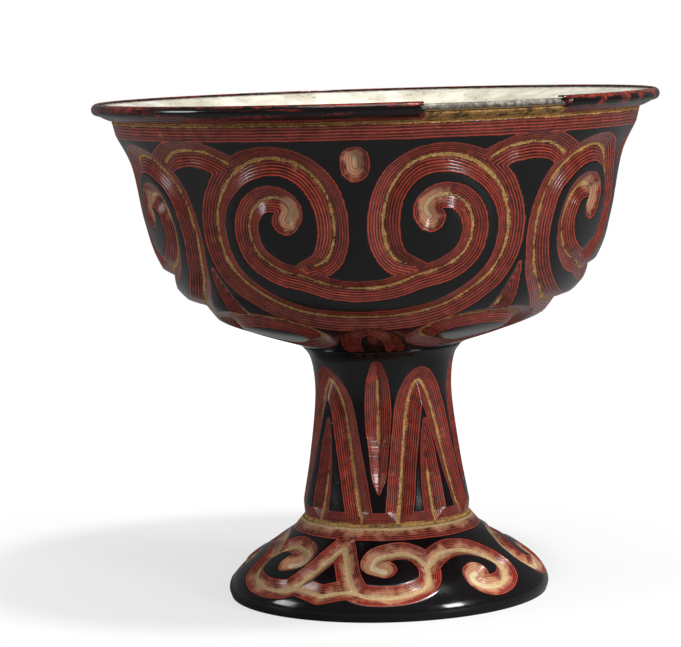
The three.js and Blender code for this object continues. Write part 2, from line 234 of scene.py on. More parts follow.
def signed_volume(mesh):
    """Six times the volume inside a closed mesh, below zero if its faces point in."""
    mesh.calc_loop_triangles()
    corners = np.array([triangle.vertices[:] for triangle in mesh.loop_triangles[:]])
    places = np.array([vertex.co[:] for vertex in mesh.vertices])
    a, b, c = places[corners].transpose(1, 0, 2)
    return np.einsum("ij,ij->", a, np.cross(b, c))


def around(section, columns):
    """Every point of a section, at every column round the axis, as an array of points in metres."""
    turn = np.arange(columns) * 2 * math.pi / columns
    radius = section[:, 0][:, None]
    height = np.repeat(section[:, 1][:, None], columns, axis=1)
    grid = np.stack([radius * np.sin(turn), -radius * np.cos(turn), height], -1)
    return grid.reshape(-1, 3) * MM


def ring_faces(rows, columns, turned=None):
    """The faces of a closed section, turned all the way round or past some columns only."""
    faces = []
    for i in range(rows):
        here_row, above_row = i * columns, (i + 1) % rows * columns
        for j in range(columns if turned is None else turned):
            beside = (j + 1) % columns
            faces.append((here_row + j, here_row + beside, above_row + beside, above_row + j))
    return faces


def ring(name, section, columns):
    """A ring with a closed section, which runs up its outer side and down its inner side."""
    section = np.array(section, float)
    return mesh_of(name, around(section, columns), ring_faces(len(section), columns))


def disc(name, section, columns):
    """A turned piece whose section starts and ends on the axis."""
    section = np.array(section, float)
    middle = section[1:-1]
    points = around(middle, columns)
    poles = np.array([[0, 0, section[0, 1]], [0, 0, section[-1, 1]]]) * MM
    first, last = len(points), len(points) + 1
    faces = ring_faces(len(middle), columns)[:(len(middle) - 1) * columns]
    top = (len(middle) - 1) * columns
    for j in range(columns):
        beside = (j + 1) % columns
        faces.append((first, beside, j))
        faces.append((last, top + j, top + beside))
    return mesh_of(name, np.vstack([points, poles]), faces)


def in_scene(name, data):
    """A new object, linked into the scene."""
    made = bpy.data.objects.new(name, data)
    bpy.context.scene.collection.objects.link(made)
    return made


def place(name, mesh, node, slot, material):
    """Puts a finished mesh in the scene in place of a CAD node."""
    if signed_volume(mesh) < 0:
        mesh.flip_normals()
    mesh.shade_smooth()
    mesh.materials.clear()
    mesh.materials.append(material)
    piece = in_scene(name, mesh)
    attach(piece, BODY)
    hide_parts(node)
    return piece


# Nodes

def give(tree, socket, value):
    """Gives a socket a plain value, or another node's output."""
    if isinstance(value, bpy.types.NodeSocket):
        tree.links.new(value, socket)
    else:
        socket.default_value = value


def node(tree, kind, values=None, **settings):
    """Adds a node. Its sockets, by name or number, get plain values or other nodes' outputs."""
    made = tree.nodes.new(kind)
    for name, value in settings.items():
        setattr(made, name, value)
    for socket, value in (values or {}).items():
        give(tree, made.inputs[socket], value)
    return made


def maths(tree, operation, *values):
    return node(tree, "ShaderNodeMath", dict(enumerate(values)), operation=operation).outputs[0]


def times(tree, *values):
    return maths(tree, "MULTIPLY", *values)


def plus(tree, *values):
    return maths(tree, "ADD", *values)


def minus(tree, *values):
    return maths(tree, "SUBTRACT", *values)


def scaled(tree, vector, scale):
    return node(tree, "ShaderNodeVectorMath", {0: vector, "Scale": scale}, operation="SCALE").outputs[0]


def mapped(tree, vector, scale, turn=(0, 0, 0)):
    """A vector turned, and scaled along each axis by a number of its own."""
    values = {"Vector": vector, "Rotation": turn, "Scale": scale}
    return node(tree, "ShaderNodeMapping", values).outputs[0]


def noise(tree, where, scale, detail=2.0, roughness=0.5):
    values = {"Vector": where, "Scale": scale, "Detail": detail, "Roughness": roughness}
    return node(tree, "ShaderNodeTexNoise", values).outputs[0]


def between(tree, value, low, high, new_low=0.0, new_high=1.0):
    """Value taken smoothly from low..high to new_low..new_high, and held at the ends."""
    values = {"Value": value, "From Min": low, "From Max": high, "To Min": new_low, "To Max": new_high}
    return node(tree, "ShaderNodeMapRange", values, interpolation_type="SMOOTHSTEP").outputs[0]


def mixed(tree, share, first, second):
    """One colour or the other, by share."""
    return node(tree, "ShaderNodeMix", {0: share, 6: first, 7: second}, data_type="RGBA").outputs[2]


def mixed_value(tree, share, first, second):
    """One number or the other, by share."""
    return node(tree, "ShaderNodeMix", {0: share, 2: first, 3: second}, data_type="FLOAT").outputs[0]


def sockets(tree, way, **kinds):
    for name, kind in kinds.items():
        tree.interface.new_socket(name.replace("_", " "), in_out=way, socket_type="NodeSocket" + kind)


# Carving

def on_points(tree, name, kind="FLOAT"):
    """What a mesh keeps on its points under a name."""
    made = node(tree, "GeometryNodeInputNamedAttribute", {"Name": name}, data_type=kind)
    return made.outputs["Attribute"]


def sampled(tree, strokes, index, name):
    """A stroke's own value at one of its points."""
    values = {"Geometry": strokes, "Index": index, "Value": on_points(tree, name)}
    made = node(tree, "GeometryNodeSampleIndex", values, data_type="FLOAT", domain="POINT")
    return made.outputs["Value"]


def one_kind_tree():
    """Geometry nodes for how deep the strokes of one kind cut at a place, in millimetres, and how worn
    they are there. A cut below zero is the land beside them."""
    tree = bpy.data.node_groups.new("cut of one kind of stroke", "GeometryNodeTree")
    sockets(tree, "INPUT", Strokes="Geometry", Kind="Int", Depth="Float", Steepness="Float",
            Sway="Float")
    sockets(tree, "OUTPUT", Cut="Float", Worn="Float")
    given = tree.nodes.new("NodeGroupInput").outputs
    same = node(tree, "FunctionNodeCompare", {2: on_points(tree, "kind", "INT"), 3: given["Kind"]},
                data_type="INT", operation="EQUAL")
    chosen = node(tree, "GeometryNodeSeparateGeometry",
                  {"Geometry": given["Strokes"], "Selection": same.outputs[0]}).outputs["Selection"]
    near = node(tree, "GeometryNodeProximity", {0: chosen}, target_element="EDGES").outputs["Distance"]
    nearest = node(tree, "GeometryNodeSampleNearest", {"Geometry": chosen},
                   domain="POINT").outputs["Index"]
    half, worn = [sampled(tree, chosen, nearest, name) for name in ("half_width", "worn")]
    strayed = plus(tree, maths(tree, "DIVIDE", near, MM), given["Sway"])
    share = minus(tree, 1.0, maths(tree, "DIVIDE", maths(tree, "MAXIMUM", strayed, 0.0), half))
    depth = maths(tree, "MINIMUM", given["Depth"], times(tree, half, given["Steepness"]))
    node(tree, "NodeGroupOutput", {"Cut": times(tree, share, depth), "Worn": worn})
    return tree


def carve_tree(kinds):
    """Geometry nodes that cut the strokes into a blank. The deepest of the kinds counts at each place,
    and a blank's own slopes, its attribute preset, count as cut already."""
    one_kind = one_kind_tree()
    tree = bpy.data.node_groups.new("carve the coat", "GeometryNodeTree")
    sockets(tree, "INPUT", Blank="Geometry", Strokes="Object", Depth="Float", Steepness="Float",
            Rounding="Float", Sway="Float", Material="Material")
    sockets(tree, "OUTPUT", Coat="Geometry")
    given = tree.nodes.new("NodeGroupInput").outputs
    strokes = node(tree, "GeometryNodeObjectInfo", {"Object": given["Strokes"]},
                   transform_space="ORIGINAL").outputs["Geometry"]
    position = node(tree, "GeometryNodeInputPosition").outputs[0]
    stray = minus(tree, noise(tree, scaled(tree, position, 1 / MM), 0.28, 4.0, 0.62), 0.5)
    sway = times(tree, times(tree, stray, 2.0), given["Sway"])
    preset = on_points(tree, "preset")
    cut = preset
    worn = 0.0
    for kind in range(kinds):
        values = {"Strokes": strokes, "Kind": kind, "Depth": given["Depth"],
                  "Steepness": given["Steepness"], "Sway": sway}
        one = node(tree, "GeometryNodeGroup", values, node_tree=one_kind).outputs
        deepest = maths(tree, "GREATER_THAN", one["Cut"], cut)
        kept = times(tree, minus(tree, 1.0, deepest), worn)
        worn = plus(tree, times(tree, deepest, one["Worn"]), kept)
        cut = maths(tree, "MAXIMUM", cut, one["Cut"])
    below = minus(tree, cut, preset)
    bend = maths(tree, "SQRT", plus(tree, times(tree, below, below),
                                    times(tree, given["Rounding"], given["Rounding"])))
    drop = times(tree, plus(tree, below, bend), 0.5 * MM)
    offset = scaled(tree, on_points(tree, "inward", "FLOAT_VECTOR"), drop)
    marked = given["Blank"]
    for name, value in (("cut", cut), ("worn", worn)):
        values = {"Geometry": marked, "Name": name, "Value": value}
        marked = node(tree, "GeometryNodeStoreNamedAttribute", values, data_type="FLOAT",
                      domain="POINT").outputs[0]
    moved = node(tree, "GeometryNodeSetPosition", {"Geometry": marked, "Offset": offset}).outputs[0]
    real = node(tree, "GeometryNodeRealizeInstances", {0: moved}).outputs[0]
    values = {"Geometry": real, "Material": given["Material"]}
    done = node(tree, "GeometryNodeSetMaterial", values).outputs[0]
    node(tree, "NodeGroupOutput", {"Coat": done})
    return tree


def stroke(kind, places, width, stretch=1.0, worn_ends=()):
    """One stroke of the gouge: its kind, and an array of angle, climb, half width and wear. Places are
    angle and climb, with a half width of their own where the stroke swells or tapers. Climbs start at
    the piece. Worn ends are the reaches in millimetres of the wear at the stroke's two ends."""
    full = np.array([(p[0] * stretch, p[1], p[2] if len(p) > 2 else width) for p in places], float)
    fine = smooth(full, STROKE_STEP)
    along = lengths(fine)
    worn = np.zeros(len(fine))
    for reach, distance in zip(worn_ends, (along, along[-1] - along)):
        if reach:
            worn = np.maximum(worn, np.clip(FULLY_WORN - distance / reach, 0, 1))
    fine[:, 0] /= stretch
    return kind, np.column_stack([fine, worn])


def turned_by(strokes, start, degrees=0.0, flip=False, squeeze=lambda angle: angle):
    """The same strokes on the cup, above the climb where their piece starts, mirrored if flip."""
    moved = []
    for kind, fine in strokes:
        fine = fine.copy()
        fine[:, 0] = squeeze(-fine[:, 0] if flip else fine[:, 0]) + degrees
        fine[:, 1] += start
        moved.append((kind, fine))
    return moved


def strokes_mesh(name, strokes):
    """The strokes as lines on the outside of the cup."""
    points, edges, widths, kinds, worn = [], [], [], [], []
    for kind, fine in strokes:
        first = len(widths)
        points.append(on_outside(fine[:, 0], fine[:, 1]))
        edges += [(first + i, first + i + 1) for i in range(len(fine) - 1)]
        widths += list(fine[:, 2])
        worn += list(fine[:, 3])
        kinds += [kind] * len(fine)
    mesh = bpy.data.meshes.new(name)
    mesh.from_pydata(np.vstack(points).tolist(), edges, [])
    keep_on_points(mesh, "half_width", widths)
    keep_on_points(mesh, "worn", worn)
    keep_on_points(mesh, "kind", kinds, "INT")
    return mesh


def blank(name, outer, preset, inner, columns):
    """A coat before it is carved. Preset says how far each outer place lies below the full coat."""
    section = np.vstack([outer, inner[::-1]])
    mesh = ring(name, section, columns)
    direction = np.vstack([inwards(outer), np.zeros_like(inner)])
    keep_on_points(mesh, "inward", around(direction, columns) / MM, "FLOAT_VECTOR")
    depth = np.concatenate([preset, np.zeros(len(inner))])
    keep_on_points(mesh, "preset", np.repeat(depth, columns))
    return mesh


def carved(mesh, strokes, finish):
    """The blank with its strokes cut, as a plain mesh."""
    lines = in_scene("strokes", strokes_mesh("strokes", strokes))
    work = in_scene("blank", mesh)
    tree = carve_tree(max(kind for kind, _ in strokes) + 1)
    gouge = work.modifiers.new("carve", "NODES")
    gouge.node_group = tree
    values = {"Strokes": lines, "Depth": CUT_DEPTH, "Steepness": WALL_STEEPNESS,
              "Rounding": EDGE_ROUNDING, "Sway": HAND_SWAY, "Material": finish}
    for item in tree.interface.items_tree:
        if item.in_out == "INPUT" and item.name in values:
            gouge[item.identifier] = values[item.name]
    view = bpy.context.evaluated_depsgraph_get()
    result = bpy.data.meshes.new_from_object(work.evaluated_get(view), depsgraph=view)
    work.modifiers.remove(gouge)
    for thing in (work, lines):
        bpy.data.objects.remove(thing)
    for name in ("inward", "preset"):
        result.attributes.remove(result.attributes[name])
    return result


# The pattern on the bowl. Half of one motif, by its angle from the motif's middle: a broad scroll whose
# two arms curl up beside a boss, a smaller scroll inside it, and the legs, stalks and clouds below them.
HEART, CURL, BOSS, BRIDGE, STALK, CLOUD, LEG = range(7)
BOWL_STRETCH = 0.89
MOTIF_REACH = 41
BROAD_SCROLL = [
    (13.5, 37.3, 2.4), (8.5, 39.3, 3.1), (6.3, 42.8), (5.8, 48.8), (7.7, 54.8), (12.5, 59.6), (19, 61.2),
    (26.5, 59.5), (33, 54.9), (36.2, 48.8), (36.5, 41.8), (34, 35.3), (29.5, 30.8), (21.5, 25.6, 4.0),
    (11.5, 22.8, 4.2), (0, 22.1, 4.2),
]
INNER_SCROLL = [
    (16.6, 48.4, 3.1), (15.6, 49.8, 3.0), (16, 51.5, 2.8), (18.6, 52.9, 2.8), (22.6, 52.6, 2.8),
    (26, 49.8, 2.9), (27.2, 45.3, 3.0), (25.6, 40.6, 3.1), (21, 37.1, 3.1), (14.5, 35.2, 2.9),
    (7.5, 32.8, 2.8), (0, 32, 2.8),
]
BOSS_PIT = [(0, 59.4), (0, 61.2)]
BRIDGE_ARCH = [(30.5, 60.1), (35.5, 62.3), (41, 63)]
STALK_LINE = [(41, 37.3, 0.6), (41, 29.8, 2.2), (41, 24.3, 3.2)]
CLOUD_LINE = [
    (41, 22), (31, 21.1), (24, 18.8), (20, 15), (21, 10.8), (25.5, 7.3), (33.5, 4.8), (41, 4.1),
]
LEG_LINE = [(2.5, 16.8, 2.0), (6.5, 13.8), (9.5, 7.8), (13, 0.3)]

# Where the four motifs sit: the angle of each middle from the first, and its reach to either side.
FIRST_MOTIF = -5.5
MOTIFS = [(0, 41, 41), (82, 41, 49), (180, 49, 49), (-82, 49, 41)]


def mirrored(half):
    """A path that ends in its mirror plane, run on to its other half."""
    return half + [(-place[0],) + tuple(place[1:]) for place in half[-2::-1]]


def bowl_strokes():
    both = [
        stroke(HEART, mirrored(BROAD_SCROLL), 3.4, BOWL_STRETCH),
        stroke(CURL, mirrored(INNER_SCROLL), 3.1, BOWL_STRETCH, (7, 7)),
        stroke(BOSS, BOSS_PIT, 3.1, 1.0, (9, 9)),
    ]
    side = [
        stroke(BRIDGE, BRIDGE_ARCH, 3.3, BOWL_STRETCH),
        stroke(STALK, STALK_LINE, 2.2, BOWL_STRETCH),
        stroke(CLOUD, CLOUD_LINE, 3.3, 0.6),
        stroke(LEG, LEG_LINE, 2.2, 0.5),
    ]
    strokes = []
    for middle, left, right in MOTIFS:
        def squeeze(angle, left=left, right=right):
            return angle * np.where(angle < 0, left, right) / MOTIF_REACH
        strokes += turned_by(both + side, BOWL_START, FIRST_MOTIF + middle, squeeze=squeeze)
        strokes += turned_by(side, BOWL_START, FIRST_MOTIF + middle, True, squeeze)
    return strokes


# The pattern on the stem: four lappets, each an arch with a blade inside, and a leaf between each two.
# Each lappet is its middle, and the leaves beside it.
ARCH, BLADE, LEAF = range(3)
LAPPETS = [(31, -6, 76), (121, 76, 166), (-149, -194, -101), (-56, -101, -6)]
LEG_CLEARANCE = 12.5
ARCH_RISE = [
    (28.3, 0), (26.7, 0.22), (23.5, 0.42), (18.2, 0.58), (12.8, 0.7), (7.5, 0.81), (2.1, 0.91),
    (-2.5, 1),
]
BLADE_LINE = [(0, 19.6, 0.7), (0, 16, 1.6), (0, 12.8, 2.1), (0, 6.4, 2.8), (0, 0, 3.2), (0, -2.5, 3.3)]
BLADE_LEAN = 3
LEAF_LINE = [
    (0, 31.9, 1.5), (0, 28.9, 2.5), (0, 21.4, 3.1), (0, 12.8, 2.3), (0, 7.5, 1.7), (0, 4.3, 0.5),
]
STEM_STRETCH = 0.29


def stem_strokes():
    strokes = []
    for middle, left, right in LAPPETS:
        spreads = (middle - left - LEG_CLEARANCE, right - middle - LEG_CLEARANCE)
        down_left = [(-share * spreads[0], climb) for climb, share in ARCH_RISE]
        down_right = [(share * spreads[1], climb) for climb, share in ARCH_RISE]
        arch = stroke(ARCH, down_left[::-1] + down_right[1:], 3.3, STEM_STRETCH)
        blade = stroke(BLADE, BLADE_LINE, 2.0, STEM_STRETCH)
        leaf = stroke(LEAF, LEAF_LINE, 2.0, STEM_STRETCH)
        strokes += turned_by([arch], STEM_START, middle)
        strokes += turned_by([blade], STEM_START, middle + BLADE_LEAN)
        strokes += turned_by([leaf], STEM_START, right)
    return strokes


# The pattern on the foot, from the middle of its peak at 0 to the middle between two big scrolls at 90.
PEAK, VALLEY, HOOK, SCROLL = range(4)
PEAK_ANGLE = -27
PEAK_LEG = [(0.8, 20.5), (3.2, 18.5), (6.4, 15), (10.2, 10.5), (13, 8)]
VALLEY_LINE = [
    (0, 6.2), (11, 7.6), (17.5, 6.5), (27, 6.2), (35.7, 7.1), (41.4, 9), (43.7, 12.1), (44, 14.5),
]
HOOK_LINE = [(44, 15), (41, 17.5), (35, 19), (27, 18.8), (20, 17.5), (19, 15), (22.5, 14), (24.5, 13.6)]
SCROLL_LINE = [
    (44.5, 14.5), (49, 16.5), (56, 18.2), (64, 18.6), (73, 17.4), (80, 14), (81.5, 11), (79, 8.3),
    (73, 6.5), (66, 6.6), (62, 8.3), (62.5, 10), (65, 10.6),
]
FOOT_STRETCH = 0.5


def foot_strokes():
    quarter = [
        stroke(PEAK, PEAK_LEG, 2.75, FOOT_STRETCH),
        stroke(VALLEY, VALLEY_LINE, 2.6, FOOT_STRETCH),
        stroke(HOOK, HOOK_LINE, 2.75, FOOT_STRETCH, (0, 6)),
        stroke(SCROLL, SCROLL_LINE, 2.8, FOOT_STRETCH, (0, 7)),
    ]
    strokes = []
    for half in (0, 180):
        for flip in (False, True):
            strokes += turned_by(quarter, 0, PEAK_ANGLE + half, flip)
    return strokes


# Colours and finishes

def seen(red, green, blue):
    """A colour as it is seen on screen, from 0 to 255, as Blender's own linear values."""
    return tuple(((part / 255 + 0.055) / 1.055) ** 2.4 if part > 10 else part / 255 / 12.92
                 for part in (red, green, blue)) + (1.0,)


BLACK = seen(15, 12, 14)
BROWN_BLACK = seen(58, 25, 21)
DEEP_RED = seen(98, 41, 34)
RED = seen(196, 80, 60)
BRIGHT_RED = seen(184, 62, 44)
RUBBED = seen(188, 148, 112)
DARK_OCHRE = seen(120, 84, 42)
OCHRE = seen(205, 152, 74)
PALE_OCHRE = seen(206, 176, 120)
CREAM = seen(204, 186, 150)
# Painted shade for the wall under the lip, laid on in dark patches.
SHADE_UNDER_LIP = seen(52, 36, 28)
DUST = seen(150, 124, 106)

# The black top coat's thickness, and how strongly lacquer mirrors.
TOP_LAYER = 0.07
LACQUER_GLOSS = 0.36


def material(name):
    made = bpy.data.materials.new(name)
    made.use_nodes = True
    return made


def here(tree):
    """The place on the object, in millimetres."""
    where = node(tree, "ShaderNodeTexCoord").outputs["Object"]
    return mapped(tree, where, (1 / MM, 1 / MM, 1 / MM))


def on_mesh(tree, name):
    """What the mesh keeps on its points under a name."""
    made = node(tree, "ShaderNodeAttribute", attribute_name=name, attribute_type="GEOMETRY")
    return made.outputs["Fac"]


def layers_group():
    """The layers of lacquer that a cut lays bare: thin red ones between dark ones, from the black top
    coat down to the ochre ground."""
    tree = bpy.data.node_groups.new("layers of lacquer", "ShaderNodeTree")
    sockets(tree, "INPUT", Place="Vector", Cut="Float", Top="Float", Period="Float", Ground_from="Float",
            Rubbed="Float")
    sockets(tree, "OUTPUT", Color="Color", Roughness="Float", Height="Float")
    given = tree.nodes.new("NodeGroupInput").outputs
    place = given["Place"]
    grain = noise(tree, place, 2.6, 4.0, 0.7)

    # Which layer shows, and where in it
    slow = minus(tree, noise(tree, place, 0.16, 2.0), 0.5)
    quick = minus(tree, noise(tree, place, 1.4, 3.0, 0.6), 0.5)
    stray = plus(tree, times(tree, slow, 0.16), times(tree, quick, 0.05))
    cut = plus(tree, given["Cut"], stray)
    below = minus(tree, cut, given["Top"])
    count = maths(tree, "DIVIDE", below, given["Period"])
    phase = maths(tree, "FRACT", count)
    line = times(tree, between(tree, phase, 0.0, 0.2), between(tree, phase, 0.4, 0.62, 1.0, 0.0))

    # Red lines on a dark wall, the top one brighter in places
    chance = node(tree, "ShaderNodeTexWhiteNoise", {"W": maths(tree, "FLOOR", count)},
                  noise_dimensions="1D").outputs["Value"]
    patchy = between(tree, noise(tree, place, 0.6, 3.0, 0.6), 0.3, 0.7, 0.45, 1.0)
    strength = times(tree, times(tree, line, patchy), between(tree, chance, 0.0, 1.0, 0.7, 1.0))
    dark = mixed(tree, between(tree, noise(tree, place, 0.35, 2.0), 0.35, 0.65), BROWN_BLACK, DEEP_RED)
    wall = mixed(tree, strength, dark, RED)
    edge = times(tree, between(tree, below, 0.16, 0.26, 1.0, 0.0),
                 between(tree, noise(tree, place, 0.2, 3.0), 0.4, 0.62, 0.15, 0.85))
    wall = mixed(tree, times(tree, edge, line), wall, BRIGHT_RED)

    # Pale where it is rubbed, more so deep down and between the lines
    fading = times(tree, given["Rubbed"], between(tree, cut, 0.2, 1.1, 0.15, 0.5))
    rub = between(tree, plus(tree, noise(tree, place, 0.3, 3.0, 0.55), fading), 0.66, 0.98)
    wall = mixed(tree, times(tree, rub, minus(tree, 1.0, times(tree, line, 0.7))), wall, RUBBED)

    # The ochre ground at the bottom
    ochre = mixed(tree, between(tree, grain, 0.38, 0.62), DARK_OCHRE, OCHRE)
    ochre = mixed(tree, between(tree, noise(tree, place, 1.1, 3.0), 0.5, 0.75), ochre, PALE_OCHRE)
    ochre = mixed(tree, times(tree, given["Rubbed"], 0.6), ochre, CREAM)
    reach = plus(tree, cut, times(tree, minus(tree, grain, 0.5), 0.22))
    reach = plus(tree, reach, times(tree, minus(tree, noise(tree, place, 0.3, 2.0), 0.5), 0.36))
    ground = between(tree, reach, minus(tree, given["Ground from"], 0.03),
                     plus(tree, given["Ground from"], 0.05))
    wall = mixed(tree, ground, wall, ochre)

    # The polished black land
    land = between(tree, below, -0.02, 0.02, 1.0, 0.0)
    colour = mixed(tree, land, wall, BLACK)
    land_gloss = between(tree, noise(tree, place, 0.12, 3.0, 0.6), 0.35, 0.7, 0.1, 0.2)
    wall_gloss = between(tree, grain, 0.3, 0.7, 0.14, 0.27)
    rough = mixed_value(tree, land, mixed_value(tree, ground, wall_gloss, 0.7), land_gloss)
    bumps = plus(tree, times(tree, line, 0.3), times(tree, times(tree, ground, grain), 1.2))
    off_land = times(tree, bumps, minus(tree, 1.0, land))
    node(tree, "NodeGroupOutput", {"Color": colour, "Roughness": rough, "Height": off_land})
    return tree


def wear_group():
    """Small scratches, pits and specks of dust, as masks from 0 to 1."""
    tree = bpy.data.node_groups.new("small wear", "ShaderNodeTree")
    sockets(tree, "INPUT", Place="Vector", Size="Float")
    sockets(tree, "OUTPUT", Scratches="Float", Pits="Float", Dust="Float")
    given = tree.nodes.new("NodeGroupInput").outputs
    place = scaled(tree, given["Place"], given["Size"])
    bent = mapped(tree, place, (0.18, 2.6, 2.2), (0.4, 0.9, 0.2))
    scratch = between(tree, noise(tree, bent, 1.0, 2.0, 0.6), 0.66, 0.72)
    pits = node(tree, "ShaderNodeTexVoronoi", {"Vector": place, "Scale": 0.55}).outputs["Distance"]
    few = between(tree, noise(tree, place, 0.3, 2.0), 0.55, 0.7)
    pit = times(tree, between(tree, pits, 0.05, 0.14, 1.0, 0.0), few)
    dust = between(tree, noise(tree, place, 3.1, 4.0, 0.75), 0.66, 0.78)
    node(tree, "NodeGroupOutput", {"Scratches": scratch, "Pits": pit, "Dust": dust})
    return tree


def group_in(tree, group, values):
    """Places a node group in a tree, and gives its outputs."""
    return node(tree, "ShaderNodeGroup", values, node_tree=group).outputs


def finish_surface(made, colour, roughness, height, bump_mm, **plain):
    """Wires colour, roughness and a height in millimetres to the material's own shader."""
    tree = made.node_tree
    shader = tree.nodes["Principled BSDF"]
    give(tree, shader.inputs["Base Color"], colour)
    give(tree, shader.inputs["Roughness"], roughness)
    bump = node(tree, "ShaderNodeBump", {"Height": height, "Distance": bump_mm * MM, "Strength": 1.0})
    tree.links.new(bump.outputs["Normal"], shader.inputs["Normal"])
    for socket, value in plain.items():
        shader.inputs[socket.replace("_", " ")].default_value = value


def carved_lacquer(name, layers, wear, period, ground_from, rubbed):
    """Lacquer with a red layer in every period of its depth, and ochre from some depth on."""
    made = material(name)
    tree = made.node_tree
    place = here(tree)
    bare = group_in(tree, layers, {
        "Place": place, "Cut": on_mesh(tree, "cut"), "Top": TOP_LAYER, "Period": period,
        "Ground from": ground_from, "Rubbed": plus(tree, on_mesh(tree, "worn"), rubbed),
    })
    worn = group_in(tree, wear, {"Place": place, "Size": 1.0})
    rough = plus(tree, bare["Roughness"], times(tree, worn["Scratches"], 0.12))
    colour = mixed(tree, times(tree, worn["Dust"], 0.22), bare["Color"], seen(150, 120, 100))
    height = minus(tree, bare["Height"], times(tree, worn["Pits"], 0.8))
    finish_surface(made, colour, rough, height, 0.05, Specular_IOR_Level=LACQUER_GLOSS)
    return made


def underside_lacquer(wear):
    """Thin black lacquer that isn't carved, worn through to red in places."""
    made = material("underside lacquer")
    tree = made.node_tree
    place = here(tree)
    worn = group_in(tree, wear, {"Place": place, "Size": 1.3})
    through = between(tree, noise(tree, place, 0.22, 4.0, 0.65), 0.6, 0.8)
    base = mixed(tree, through, BLACK, DEEP_RED)
    base = mixed(tree, times(tree, worn["Dust"], 0.3), base, seen(130, 104, 84))
    rough = plus(tree, between(tree, noise(tree, place, 0.4, 3.0), 0.3, 0.7, 0.14, 0.26),
                 times(tree, worn["Scratches"], 0.14))
    finish_surface(made, base, rough, minus(tree, times(tree, through, -0.4), worn["Pits"]), 0.05)
    return made


def lip_lacquer(layers, wear):
    """Black lacquer over the lip, rubbed red along its top and beside the loss, and striped where the
    wall under it is cut."""
    made = material("lip lacquer")
    tree = made.node_tree
    place = here(tree)
    x, y, z = node(tree, "ShaderNodeSeparateXYZ", {0: place}).outputs
    cut = on_mesh(tree, "cut")
    bare = group_in(tree, layers, {"Place": place, "Cut": cut, "Top": TOP_LAYER, "Period": 0.29,
                                   "Ground from": 1.45, "Rubbed": 0.05})
    worn = group_in(tree, wear, {"Place": place, "Size": 1.3})
    ragged = minus(tree, noise(tree, place, 0.3, 4.0, 0.65), 0.5)
    top = plus(tree, z, times(tree, ragged, 2.4))
    rubbed = times(tree, between(tree, top, LIP_MIDDLE + 0.85, LIP_MIDDLE + 1.1), 0.3)
    beside_loss = times(tree, between(tree, x, 34.0, 42.0), between(tree, y, 0.0, 12.0, 1.0, 0.0))
    patches = times(tree, between(tree, noise(tree, place, 0.25, 3.0, 0.6), 0.54, 0.6), beside_loss)
    streaks = mapped(tree, place, (0.05, 0.05, 0.9))
    faint = between(tree, noise(tree, streaks, 1.0, 4.0, 0.6), 0.5, 0.6, 0.0, 0.45)
    through = maths(tree, "MAXIMUM", rubbed, maths(tree, "MAXIMUM", times(tree, patches, 0.5), faint))
    through = times(tree, through, between(tree, cut, 0.02, 0.06, 1.0, 0.0))
    red = mixed(tree, between(tree, noise(tree, place, 0.8, 3.0), 0.4, 0.6), BRIGHT_RED, DEEP_RED)
    base = mixed(tree, through, bare["Color"], red)
    # Painted shade under the overhanging lip: dark patches where the cut under it is deep.
    dirt_and_shade = times(tree, between(tree, noise(tree, place, 0.45, 4.0, 0.65), 0.5, 0.58),
                 between(tree, cut, 1.2, 1.4, 0.0, 0.85))
    base = mixed(tree, dirt_and_shade, base, SHADE_UNDER_LIP)
    base = mixed(tree, times(tree, worn["Dust"], 0.35), base, DUST)
    rough = plus(tree, bare["Roughness"], times(tree, worn["Scratches"], 0.14))
    bumps = minus(tree, minus(tree, bare["Height"], times(tree, through, 0.4)), worn["Pits"])
    finish_surface(made, base, rough, bumps, 0.05, Specular_IOR_Level=LACQUER_GLOSS)
    return made


def ochre_ground():
    made = material("ochre ground")
    tree = made.node_tree
    place = here(tree)
    grain = noise(tree, place, 2.2, 5.0, 0.7)
    base = mixed(tree, between(tree, grain, 0.35, 0.6), DARK_OCHRE, OCHRE)
    base = mixed(tree, between(tree, noise(tree, place, 0.7, 4.0, 0.7), 0.52, 0.72), base, PALE_OCHRE)
    dirt_and_shade = between(tree, noise(tree, place, 0.35, 3.0, 0.6), 0.5, 0.68)
    base = mixed(tree, times(tree, dirt_and_shade, 0.85), base, seen(40, 28, 22))
    finish_surface(made, base, between(tree, grain, 0.3, 0.7, 0.55, 0.85), grain, 0.12)
    return made


